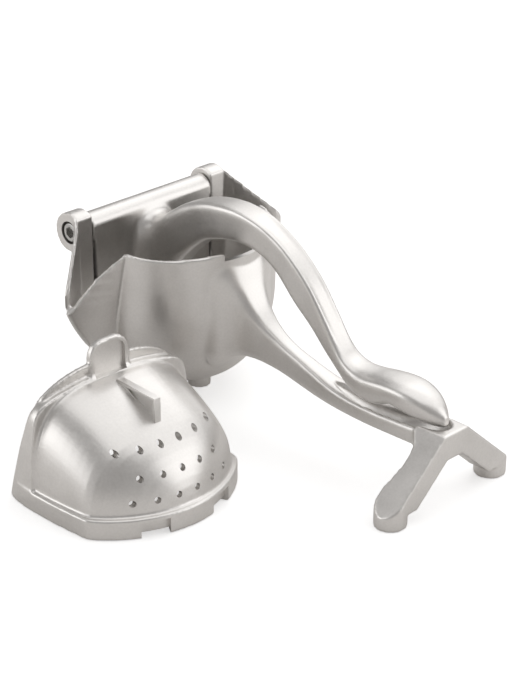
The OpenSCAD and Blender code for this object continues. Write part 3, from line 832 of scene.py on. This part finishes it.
    def build(self) -> Piece:
        """Models the whole strainer.

        Returns:
            The strainer as one skin with its holes and gaps cut.
        """
        solids = [self.dome("dome", 0), self.skirt("skirt", 0, 0, self.skirt_height), self.band()]
        wide, far = 80.0, 40.0
        behind = [(-wide, -25.0), (wide, -25.0), (wide, 75.0), (-wide, 75.0)]
        for solid in solids:
            Bench.work(solid, self.leaning("behind", behind, -far, far))
        strainer = Bench.weld(solids + [self.lip(), self.tab(0.0, 0.0, self.tab_thick)])
        Bench.cast(strainer, self.grain, 1)
        Bench.work(strainer, self.dome("hollow", self.wall))
        Bench.cast(strainer, self.grain, 2)
        fin = self.fin()
        Bench.work(fin, self.dome("hollow", self.wall * 0.5))
        Bench.work(strainer, fin, Cut.UNION)
        Bench.work(strainer, self.tab(2.1, self.tab_thick - 1.5, self.tab_thick + 4))
        for row in range(3):
            count = 6 - row % 2
            for i in range(count):
                y, z = (i - (count - 1) / 2) * self.hole_pitch, self.first_row + row * self.row_rise
                Bench.work(strainer, Bench.bar("hole", self.hole / 2, self.stand(self.juice_from, y, z),
                                               self.stand(self.length + 15, y, z), 20))
        for side in SIDES:
            for cutter in self.gap(side):
                Bench.work(strainer, cutter)
        return Bench.finish(strainer, "strainer_casting")


@dataclass
class HingeScrews:
    """The two socket-head screws that the lever turns on."""

    shank: float = 3.0
    length: float = 20.0
    head_radius: float = 4.5
    head_height: float = 5.6
    chamfer: float = 0.5
    socket: float = 5.0
    socket_depth: float = 3.2
    face: float = 46.6

    def build(self) -> Piece:
        """Models both screws, with chamfered heads and hexagon sockets.

        Returns:
            The pair as one piece.
        """
        pair = []
        for s in SIDES:
            seat = s * (self.face - self.head_height)
            head = Bench.bar("head", self.head_radius, place(0, seat, 0), place(0, s * self.face, 0), 64)
            Bench.break_edges(head, self.chamfer, 3)
            Bench.work(head, Bench.bar("socket", self.socket / math.sqrt(3),
                                       place(0, s * (self.face - self.socket_depth), 0),
                                       place(0, s * (self.face + 1), 0), 6))
            shank = Bench.bar("shank", self.shank, place(0, seat + s * 0.5, 0),
                              place(0, seat - s * self.length, 0), 48)
            Bench.work(head, shank, Cut.UNION)
            pair.append(head)
        return Bench.finish(Bench.weld(pair), "hinge_screw_pair", 30)


# ---- finishes


class Wiring:
    """A node tree in the making, with short ways to add nodes and join them."""

    def __init__(self, tree: bpy.types.NodeTree) -> None:
        """Takes the tree to build on."""
        self.tree = tree

    def add(self, kind: str, **values: object) -> bpy.types.Node:
        """Adds a shader node and sets inputs, with _ for a space in their names."""
        node = self.tree.nodes.new("ShaderNode" + kind)
        for name, value in values.items():
            node.inputs[name.replace("_", " ")].default_value = value
        return node

    def join(self, *pairs: tuple[bpy.types.NodeSocket, bpy.types.NodeSocket]) -> None:
        """Joins pairs of an output and an input."""
        for start, end in pairs:
            self.tree.links.new(start, end)

    def camera_sees(self, seen: bpy.types.Node, other: bpy.types.Node, out: bpy.types.Node) -> None:
        """Shows one shader to the camera and another to every other ray.

        Args:
            seen: The shader that the camera sees.
            other: The shader that lights and reflections see.
            out: The tree's output node.
        """
        path, mix = self.add("LightPath"), self.add("MixShader")
        self.join((path.outputs["Is Camera Ray"], mix.inputs["Fac"]), (other.outputs[0], mix.inputs[1]),
                  (seen.outputs[0], mix.inputs[2]), (mix.outputs[0], out.inputs["Surface"]))


class Grain:
    """Shader node groups that the finishes share, each built once."""

    @staticmethod
    @cache
    def cast_skin() -> bpy.types.NodeTree:
        """Makes the grain of a tumbled casting.

        Returns:
            A group with two scales, two tones and two roughnesses in, and a
            tone, a roughness and a height out.
        """
        tree = bpy.data.node_groups.new("cast_skin", "ShaderNodeTree")
        face = tree.interface
        for name, value in (("Fine Scale", 900.0), ("Broad Scale", 45.0), ("Pale Tone", None),
                            ("Deep Tone", None), ("Low Roughness", 0.3), ("High Roughness", 0.4)):
            kind = "NodeSocketColor" if value is None else "NodeSocketFloat"
            socket = face.new_socket(name=name, in_out="INPUT", socket_type=kind)
            if value is not None:
                socket.default_value = value
        for name, kind in (("Tone", "Color"), ("Roughness", "Float"), ("Height", "Float")):
            face.new_socket(name=name, in_out="OUTPUT", socket_type="NodeSocket" + kind)
        inp, out = tree.nodes.new("NodeGroupInput").outputs, tree.nodes.new("NodeGroupOutput").inputs
        wires = Wiring(tree)
        where = wires.add("TexCoord").outputs["Object"]
        fine, broad = wires.add("TexNoise", Detail=4.0), wires.add("TexNoise", Detail=3.0)
        blend, share = wires.add("Math"), wires.add("Math")
        blend.operation, share.operation = "MULTIPLY_ADD", "MULTIPLY"
        blend.inputs[1].default_value, share.inputs[1].default_value = 0.45, 0.55
        spread = wires.add("MapRange", From_Min=0.35, From_Max=0.65)
        rough = wires.add("MapRange", From_Min=0.3, From_Max=0.7)
        tone = wires.add("Mix")
        tone.data_type = "RGBA"
        wires.join((where, fine.inputs["Vector"]), (where, broad.inputs["Vector"]),
                   (inp["Fine Scale"], fine.inputs["Scale"]), (inp["Broad Scale"], broad.inputs["Scale"]),
                   (fine.outputs["Fac"], blend.inputs[0]), (broad.outputs["Fac"], share.inputs[0]),
                   (share.outputs[0], blend.inputs[2]), (blend.outputs[0], spread.inputs["Value"]),
                   (spread.outputs[0], tone.inputs["Factor"]), (inp["Deep Tone"], tone.inputs[6]),
                   (inp["Pale Tone"], tone.inputs[7]), (blend.outputs[0], rough.inputs["Value"]),
                   (inp["Low Roughness"], rough.inputs["To Min"]), (inp["High Roughness"], rough.inputs["To Max"]),
                   (tone.outputs[2], out["Tone"]), (rough.outputs[0], out["Roughness"]),
                   (blend.outputs[0], out["Height"]))
        return tree


@dataclass(frozen=True)
class MetalFinish:
    """A metal finish: its tones, gloss and grain."""

    name: str
    pale: tuple[float, float, float]
    deep: tuple[float, float, float]
    low_roughness: float
    high_roughness: float
    fine_scale: float
    broad_scale: float
    bump: float
    grain_height: float = 0.0002

    def material(self) -> bpy.types.Material:
        """Builds the material.

        Returns:
            A procedural material on Object coordinates.
        """
        made = bpy.data.materials.new(self.name)
        made.use_nodes = True
        wires = Wiring(made.node_tree)
        shader = next(n for n in made.node_tree.nodes if n.type == "BSDF_PRINCIPLED").inputs
        shader["Metallic"].default_value = 1.0
        grain = wires.add("Group")
        grain.node_tree = Grain.cast_skin()
        for name, value in (("Fine Scale", self.fine_scale), ("Broad Scale", self.broad_scale),
                            ("Pale Tone", (*self.pale, 1)), ("Deep Tone", (*self.deep, 1)),
                            ("Low Roughness", self.low_roughness), ("High Roughness", self.high_roughness)):
            grain.inputs[name].default_value = value
        bump = wires.add("Bump", Strength=self.bump, Distance=self.grain_height)
        wires.join((grain.outputs["Tone"], shader["Base Color"]), (grain.outputs["Roughness"], shader["Roughness"]),
                   (grain.outputs["Height"], bump.inputs["Height"]), (bump.outputs["Normal"], shader["Normal"]))
        return made


CAST = MetalFinish(
    "satin_cast_aluminium", (0.78, 0.762, 0.742), (0.70, 0.683, 0.663), 0.3, 0.42, 900, 60, 0.25)
STEEL = MetalFinish(
    "bright_screw_steel", (0.62, 0.615, 0.6), (0.5, 0.495, 0.485), 0.22, 0.34, 1500, 300, 0.1)


# ---- studio


@dataclass(frozen=True)
class SoftBox:
    """A soft box: its place in metres, its width and height in metres, and its power in watts."""

    name: str
    spot: tuple[float, float, float]
    size: tuple[float, float]
    power: float

    def hang(self, aim: Vector) -> None:
        """Hangs the box, turned towards a point."""
        light = bpy.data.lights.new(self.name, "AREA")
        light.shape, light.energy = "RECTANGLE", self.power
        light.size, light.size_y = self.size
        lamp = bpy.data.objects.new(self.name, light)
        bpy.context.scene.collection.objects.link(lamp)
        lamp.location = self.spot
        lamp.rotation_euler = (aim - Vector(self.spot)).to_track_quat("-Z", "Y").to_euler()


BOXES = (
    SoftBox("overhead_box", (0.1, 0.3, 1.5), (2.0, 2.0), 10),
    SoftBox("right_box", (1.3, 0.9, 0.55), (1.4, 1.4), 7.5),
    SoftBox("back_box", (-0.4, 1.5, 1.0), (2.0, 1.4), 7.5),
    SoftBox("left_box", (-1.0, -1.4, 0.6), (1.6, 1.2), 8),
)


@dataclass
class Studio:
    """Pale floor, soft lamps and the camera."""

    floor_size: float = 12.0
    floor_drop: float = 0.0002
    floor_tone: tuple[float, float, float] = (0.8, 0.785, 0.77)
    floor_shown: tuple[float, float, float] = (0.8, 0.8, 0.8)
    floor_glow: float = 0.5
    surround: float = 0.38
    surround_tone: tuple[float, float, float] = (1, 0.98, 0.965)
    aim: tuple[float, float, float] = (0.05, -0.03, 0.04)
    camera_spot: tuple[float, float, float] = (0.63988, -0.59467, 0.44472)
    azimuth: float = 45.24
    tilt: float = 25.90
    roll: float = 0.21
    lens: float = 105.87

    def floor(self) -> None:
        """Lays a pale floor. The camera sees it white, with the object's shadow."""
        Bench.clear()
        bpy.ops.mesh.primitive_plane_add(size=self.floor_size, location=(0, 0, -self.floor_drop))
        floor = bpy.context.object
        floor.name = "studio_floor"
        Bench.settle(floor)
        made = bpy.data.materials.new("pale_floor")
        made.use_nodes = True
        made.node_tree.nodes.clear()
        wires = Wiring(made.node_tree)
        pale = wires.add("BsdfDiffuse", Color=(*self.floor_tone, 1))
        plain = wires.add("BsdfDiffuse", Color=(*self.floor_shown, 1))
        glow = wires.add("Emission", Color=(1, 1, 1, 1), Strength=self.floor_glow)
        white = wires.add("AddShader")
        wires.join((plain.outputs[0], white.inputs[0]), (glow.outputs[0], white.inputs[1]))
        wires.camera_sees(white, pale, wires.add("OutputMaterial"))
        floor.data.materials.append(made)

    def world(self) -> None:
        """Sets a plain grey surround that the camera sees as white."""
        world = bpy.data.worlds.new("studio_surround")
        bpy.context.scene.world = world
        world.use_nodes = True
        world.node_tree.nodes.clear()
        wires = Wiring(world.node_tree)
        soft = wires.add("Background", Color=(*self.surround_tone, 1), Strength=self.surround)
        white = wires.add("Background", Color=(1, 1, 1, 1), Strength=1.0)
        wires.camera_sees(white, soft, wires.add("OutputWorld"))

    def camera(self) -> None:
        """Sets the camera at its place and angle."""
        azimuth, tilt, roll = (math.radians(angle) for angle in (self.azimuth, self.tilt, self.roll))
        level = math.cos(tilt)
        side = Vector((math.cos(azimuth), math.sin(azimuth), 0))
        ahead = Vector((-math.sin(azimuth) * level, math.cos(azimuth) * level, -math.sin(tilt)))
        over = side.cross(ahead)
        right = side * math.cos(roll) + over * math.sin(roll)
        up = over * math.cos(roll) - side * math.sin(roll)
        data = bpy.data.cameras.new("camera")
        data.sensor_fit, data.sensor_height, data.lens = "VERTICAL", 36.0, self.lens
        data.clip_start, data.clip_end = 0.05, 30.0
        camera = bpy.data.objects.new("camera", data)
        bpy.context.scene.collection.objects.link(camera)
        turn = Matrix((right, up, -ahead)).transposed().to_4x4()
        camera.matrix_world = Matrix.Translation(Vector(self.camera_spot)) @ turn
        bpy.context.scene.camera = camera

    def build(self) -> None:
        """Sets up the whole studio."""
        bpy.context.scene.view_settings.view_transform = "Standard"
        self.floor()
        self.world()
        for box in BOXES:
            box.hang(Vector(self.aim))
        self.camera()


# ---- the object


def dress(piece: Piece, finish: bpy.types.Material, body: str, node: str) -> None:
    """Gives a piece its finish, ties it to its body and hides the CAD node it stands for.

    Args:
        piece: The finished piece.
        finish: Its material.
        body: Name of the body it moves with.
        node: Name of the CAD node it stands for.
    """
    piece.data.materials.clear()
    piece.data.materials.append(finish)
    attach(piece, body)
    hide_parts(node)
    LOG.info("%s: %d faces on %s", piece.name, len(piece.data.polygons), body)


def main() -> None:
    """Builds the studio and the four pieces in order."""
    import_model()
    cast, steel = CAST.material(), STEEL.material()
    dress(Housing().build(), cast, "base", "housing")
    dress(PressLever().build(), cast, "lever", "press_lever")
    dress(Strainer().build(), cast, "strainer", "strainer")
    dress(HingeScrews().build(), steel, "lever", "hinge_screws")
    Studio().build()


if __name__ == "__main__":
    main()
